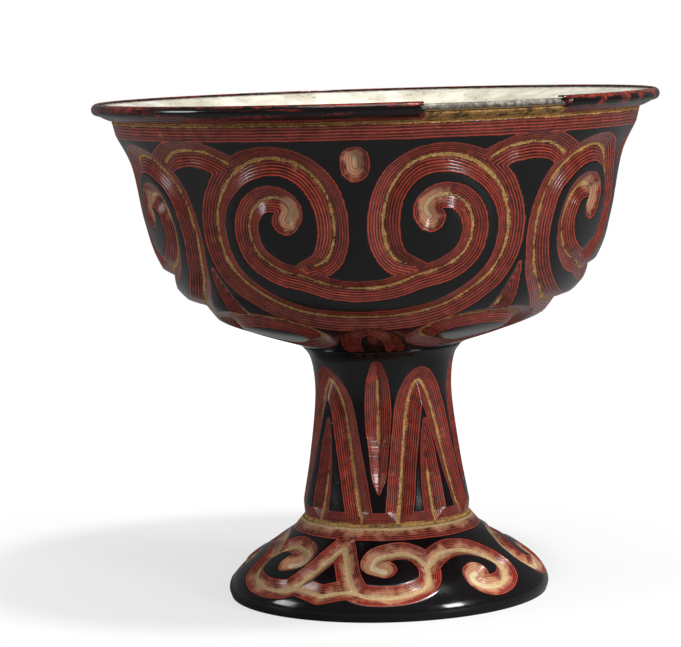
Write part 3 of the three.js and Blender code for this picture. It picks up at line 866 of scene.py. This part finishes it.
def liner_metal():
    """Old tinned metal: bright and faintly brushed, with dark blotches gathered near the lip."""
    made = material("liner metal")
    tree = made.node_tree
    place = here(tree)
    brush = noise(tree, mapped(tree, place, (0.08, 0.08, 2.4)), 1.0, 4.0, 0.6)
    cloud = noise(tree, place, 0.13, 4.0, 0.62)
    spots = noise(tree, place, 0.75, 4.0, 0.72)
    base = mixed(tree, between(tree, cloud, 0.35, 0.65), seen(222, 219, 208), seen(200, 195, 178))
    stain = times(tree, between(tree, spots, 0.55, 0.7), between(tree, cloud, 0.42, 0.62))
    base = mixed(tree, times(tree, stain, 0.75), base, seen(70, 62, 50))
    rough = between(tree, brush, 0.3, 0.7, 0.66, 0.8)
    x, y, z = node(tree, "ShaderNodeSeparateXYZ", {0: place}).outputs
    radius = maths(tree, "SQRT", plus(tree, times(tree, x, x), times(tree, y, y)))

    # The bead is tarnished, and ochre clings to it underneath
    outer = between(tree, radius, LIP_RADIUS - 2.4, LIP_RADIUS - 1.6)
    tarnish = mixed(tree, between(tree, spots, 0.4, 0.6), seen(76, 72, 66), seen(146, 140, 130))
    base = mixed(tree, times(tree, outer, 0.9), base, tarnish)
    edge = plus(tree, z, times(tree, minus(tree, spots, 0.5), 1.2))
    remains = times(tree, between(tree, edge, LIP_MIDDLE - 0.75, LIP_MIDDLE - 0.5, 1.0, 0.0),
                    between(tree, radius, LIP_RADIUS - 3.0, LIP_RADIUS - 2.4))
    base = mixed(tree, remains, base, OCHRE)
    give(tree, tree.nodes["Principled BSDF"].inputs["Metallic"], minus(tree, 1.0, remains))
    finish_surface(made, base, mixed_value(tree, remains, rough, 0.75),
                   plus(tree, brush, times(tree, spots, 0.6)), 0.03)
    return made


def turned_wood():
    made = material("turned wood")
    tree = made.node_tree
    place = here(tree)
    warp = noise(tree, place, 0.06, 2.0)
    grain = noise(tree, mapped(tree, place, (1.0, 1.0, 0.12)), 0.9, 5.0, 0.65)
    rings = maths(tree, "FRACT", times(tree, plus(tree, warp, grain), 3.0))
    base = mixed(tree, between(tree, rings, 0.2, 0.9), seen(150, 112, 72), seen(112, 78, 46))
    finish_surface(made, base, between(tree, grain, 0.3, 0.7, 0.6, 0.8), grain, 0.08)
    return made


# The pieces

def row_presets(line, tip, step, at_start, early=0.0):
    """A coat's outer line with its slope to a tip, and how deep each place lies below the full coat. The
    slope starts early by a length in millimetres."""
    if at_start:
        line, climb = line[::-1], lengths(line[::-1])
    else:
        climb = lengths(line)
    slope = spaced(np.array([line[-1], tip], float), step)
    outer = np.vstack([line, slope[1:]])
    after = lengths(outer) - (climb[-1] - early)
    preset = np.maximum(after, 0) / after[-1] * TIP_DEPTH
    if at_start:
        return outer[::-1], preset[::-1]
    return outer, preset


def coarse(line, every):
    """Every few points of a line, with both its ends."""
    kept = list(range(0, len(line) - 1, every)) + [len(line) - 1]
    return line[kept]


def bowl_coat(finish):
    outer, preset = row_presets(BOWL_LINE, BOWL_TIP, BOWL_STEP, False, BOWL_SLOPE_EARLY)
    outer = np.vstack([[SEAT_RADIUS, BOWL_SEAT], outer])
    preset = np.concatenate([[0], preset])
    inner = runs_in(coarse(inset(BOWL_LINE, COAT), 5), DISC_RADIUS)
    inner = np.vstack([[DISC_RADIUS, BOWL_SEAT], inner])
    mesh = carved(blank("bowl_lacquer", outer, preset, inner, BOWL_COLUMNS), bowl_strokes(), finish)
    place("carved_bowl_coat", mesh, "bowl_lacquer", "carved_lacquer", finish)


def stem_coat(finish):
    line = np.vstack([STEM_LINE, [STEM_PLACES[-1][0] + STEM_FLARE, STEM_TOP]])
    outer, preset = row_presets(line, STEM_TIP, STEM_STEP, True)
    inner = coarse(inset(STEM_LINE, COAT), 8)
    inner[-1, 1] = STEM_TOP
    mesh = carved(blank("stem_lacquer", outer, preset, inner, STEM_COLUMNS), stem_strokes(), finish)
    place("carved_stem_coat", mesh, "stem_lacquer", "carved_lacquer", finish)


def foot_coat(finish):
    outer, preset = row_presets(FOOT_LINE, FOOT_TIP, FOOT_STEP, False)
    inner = coarse(inset(FOOT_LINE, COAT), 5)
    inner[0, 1] = 0
    mesh = carved(blank("foot_lacquer", outer, preset, inner, FOOT_COLUMNS), foot_strokes(), finish)
    place("carved_foot_coat", mesh, "foot_lacquer", "carved_lacquer", finish)


def grounds(finish):
    depth = COAT + BOND
    bowl_line = runs_in(inset(coarse(BOWL_LINE, 3), depth), DISC_RADIUS)
    bowl_line = np.vstack([bowl_line, [NECK_GROOVE], [LIP_UNDERSIDE]])
    section = np.vstack([bowl_line, inset(bowl_line, GROUND)[::-1]])
    mesh = ring("bowl_ground", section, PLAIN_COLUMNS)
    place("bowl_ground_layer", mesh, "bowl_ground", "ochre_ground", finish)
    low = HOLLOW_PLACES[0][1] + UNDERSIDE_COAT + BOND
    foot_line = inset(coarse(FOOT_LINE, 5), depth)
    foot_line = np.vstack([[foot_line[0, 0], low], foot_line[foot_line[:, 1] > low]])
    line = np.vstack([foot_line, [ANKLE_GROOVE], inset(coarse(STEM_LINE, 6), depth)])
    inner = inset(line, GROUND)
    line[-1, 1] = inner[-1, 1] = STEM_TOP - GROUND_DROP
    inner[0, 1] = low
    mesh = ring("stem_ground", np.vstack([line, inner[::-1]]), PLAIN_COLUMNS)
    place("stem_ground_layer", mesh, "stem_ground", "ochre_ground", finish)


def liner(finish):
    depth = COAT + GROUND + WOOD + 3 * BOND
    line = inset(BOWL_LINE, depth)
    line = coarse(line[line[:, 1] < THROAT[1] - depth / 2], 4)
    bend = 6
    curve = smooth(np.vstack([line[-bend::2], [THROAT], [BROW]]), 0.8)
    line = np.vstack([line[:-bend], curve])
    bead_middle = (LIP_RADIUS - LIP_ROUNDING, LIP_MIDDLE)
    bead = arc(bead_middle, LIP_ROUNDING - LIP_COAT - BOND, *BEAD_ARC, LIP_STEPS)
    inner = inset(line, LINER)
    section = np.vstack([[[0, line[0, 1]]], line, bead, inner[::-1], [[0, line[0, 1] + LINER]]])
    place("metal_liner", disc("liner", section, PLAIN_COLUMNS), "liner", "liner_metal", finish)


def broken_ring(section, starts, ends, columns):
    """The points and faces of a closed section turned most of the way round, with a face over each end.
    Starts and ends are in degrees, one for each point of the section."""
    share = np.linspace(0, 1, columns)
    turn = np.radians(starts[:, None] + (ends - starts)[:, None] * share)
    radius = section[:, 0][:, None]
    height = np.repeat(section[:, 1][:, None], columns, axis=1)
    points = np.stack([radius * np.sin(turn), -radius * np.cos(turn), height], -1).reshape(-1, 3) * MM
    first = [i * columns for i in range(len(section))]
    last = [i + columns - 1 for i in first[::-1]]
    return points, ring_faces(len(section), columns, columns - 1) + [tuple(first), tuple(last)]


def lip_coat(finish):
    """The lacquer over the bead, with two ragged ends where a stretch has broken away, and the wall of
    lacquer under the lip, which goes all the way round and is bared to the ground along that stretch."""
    middle = (LIP_RADIUS - LIP_ROUNDING, LIP_MIDDLE)
    over = arc(middle, LIP_ROUNDING, *LIP_ARC, LIP_STEPS)
    under = arc(middle, LIP_ROUNDING - LIP_COAT, *LIP_ARC, LIP_STEPS)
    step = np.concatenate([np.arange(LIP_STEPS + 1), np.arange(LIP_STEPS + 1)[::-1]])
    starts = LOSS_END + 1.2 * np.sin(step * 1.1) + 0.8 * np.sin(step * 2.7 + 1) - 0.14 * step
    ends = LOSS_START + 360 + 0.5 * np.sin(step * 1.7) + 0.35 * np.sin(step * 3.1 + 2)
    bead_points, bead_faces = broken_ring(np.vstack([over, under[::-1]]), starts, ends, LIP_COLUMNS)
    wall = spaced(np.array(LIP_WALL + [tuple(over[0])], float), 0.25)
    depth = np.maximum(np.linspace(COAT, WALL_CUT_END, len(wall)), 0)
    back = spaced(np.array([LIP_WALL[0], *LIP_WALL_BACK], float), 0.5)[::-1]
    section = np.vstack([wall, back])
    wall_faces = [tuple(corner + len(bead_points) for corner in face)
                  for face in ring_faces(len(section), PLAIN_COLUMNS)]
    points = np.vstack([bead_points, around(section, PLAIN_COLUMNS)])
    mesh = mesh_of("lip_lacquer", points, bead_faces + wall_faces)
    angle = np.arange(PLAIN_COLUMNS) * 360 / PLAIN_COLUMNS
    bared = np.where((angle > LOSS_START) & (angle < LOSS_END), COAT, 0)
    cuts = np.maximum(np.concatenate([depth, np.full(len(back), COAT)])[:, None], bared).ravel()
    keep_on_points(mesh, "cut", np.concatenate([np.zeros(len(bead_points)), cuts]))
    place("lip_coat", mesh, "lip_lacquer", "black_lacquer", finish)


def underside_coat(finish):
    hollow = smooth(HOLLOW_PLACES[:-1], 1.0)
    brim = inset(FOOT_LINE, COAT)[0, 0] - BOND
    low = HOLLOW_PLACES[0][1]
    rise = np.array([0, UNDERSIDE_COAT])
    section = np.vstack([
        [HOLLOW_PLACES[-1]], hollow[::-1], [[brim, low]], [[brim, low + UNDERSIDE_COAT]], hollow + rise,
        [np.array(HOLLOW_PLACES[-1]) + rise],
    ])
    mesh = disc("underside_lacquer", section, PLAIN_COLUMNS)
    place("underside_coat", mesh, "underside_lacquer", "black_lacquer", finish)


def cup():
    layers = layers_group()
    wear = wear_group()
    for coat, part, period, ground_from, rubbed in (
        (bowl_coat, "bowl", 0.26, 1.36, 0.1), (stem_coat, "stem", 0.22, 1.34, 0.1),
        (foot_coat, "foot", 0.24, 1.12, 0.75),
    ):
        coat(carved_lacquer("carved lacquer of the " + part, layers, wear, period, ground_from, rubbed))
    grounds(ochre_ground())
    liner(liner_metal())
    lip_coat(lip_lacquer(layers, wear))
    underside_coat(underside_lacquer(wear))
    wood = turned_wood()
    for name in ("bowl_core", "stem_core"):
        core = frame["nodes"][name]
        core.data.materials.clear()
        core.data.materials.append(wood)


# The studio

FLOOR_RADIUS = 550
FLOOR_SIDES = 96
WHITE = (1, 1, 1, 1)


def floor():
    """A round of floor that takes the cup's shadow, and glows to the camera so that it fades into the
    backdrop at its rim."""
    rim = around(np.array([[FLOOR_RADIUS, 0.0]]), FLOOR_SIDES)
    mesh = mesh_of("floor", rim, [tuple(range(FLOOR_SIDES))])
    made = material("white floor")
    tree = made.node_tree
    where = here(tree)
    tone = mixed(tree, noise(tree, where, 0.02, 2.0), (0.19, 0.19, 0.19, 1), (0.2, 0.2, 0.2, 1))
    ray = node(tree, "ShaderNodeLightPath").outputs["Is Camera Ray"]
    away = node(tree, "ShaderNodeVectorMath", {0: where}, operation="LENGTH").outputs["Value"]
    glow = times(tree, ray, between(tree, away, 60.0, 420.0, 0.69, 1.0))
    for socket, value in (("Base Color", tone), ("Roughness", 0.55), ("Specular IOR Level", 0.2),
                          ("Emission Color", WHITE), ("Emission Strength", glow)):
        give(tree, tree.nodes["Principled BSDF"].inputs[socket], value)
    mesh.materials.append(made)
    piece = in_scene("floor", mesh)


def world():
    made = bpy.data.worlds.new("white room")
    made.use_nodes = True
    tree = made.node_tree
    tree.nodes.clear()
    path = node(tree, "ShaderNodeLightPath").outputs
    room = node(tree, "ShaderNodeBackground", {"Color": WHITE, "Strength": 0.15}).outputs[0]
    backdrop = node(tree, "ShaderNodeBackground", {"Color": WHITE, "Strength": 1.0}).outputs[0]
    mix = node(tree, "ShaderNodeMixShader", {0: path["Is Camera Ray"], 1: room, 2: backdrop})
    end = node(tree, "ShaderNodeOutputWorld", {"Surface": mix.outputs[0]})
    end.is_active_output = True
    bpy.context.scene.world = made


def lamp(name, spot, target, size, watts, tint=(1, 1, 1)):
    light = bpy.data.lights.new(name, "AREA")
    light.shape = "SQUARE"
    light.size = size
    light.energy = watts
    light.color = tint
    thing = in_scene(name, light)
    thing.location = spot
    thing.rotation_euler = (Vector(target) - Vector(spot)).to_track_quat("-Z", "Y").to_euler()


def lights():
    middle = (0, 0, 0.06)
    lamp("key", (0.32, -0.3, 1.2), middle, 0.16, 16.0)
    lamp("overhead", (0.0, -0.25, 1.15), middle, 0.7, 5.0)
    lamp("front", (0.9, -0.85, 0.5), middle, 0.3, 11.0)
    lamp("left strip", (-0.9, -0.1, 0.35), middle, 0.25, 2.5)


def camera():
    """The camera as it was fitted to the photo: where it stands, and how far it is pitched and rolled."""
    lens = bpy.data.cameras.new("camera")
    lens.lens = 141.7
    lens.sensor_width = 36
    lens.clip_end = 30
    thing = in_scene("camera", lens)
    spot = (-0.0091, -0.5935, 0.1258)
    pitch = 0.11
    roll = -0.031
    thing.matrix_world = (Matrix.Translation(spot) @ Matrix.Rotation(math.pi / 2 - pitch, 4, "X")
                          @ Matrix.Rotation(roll, 4, "Z"))
    bpy.context.scene.camera = thing


cup()
floor()
world()
lights()
camera()
bpy.context.scene.view_settings.view_transform = "Standard"
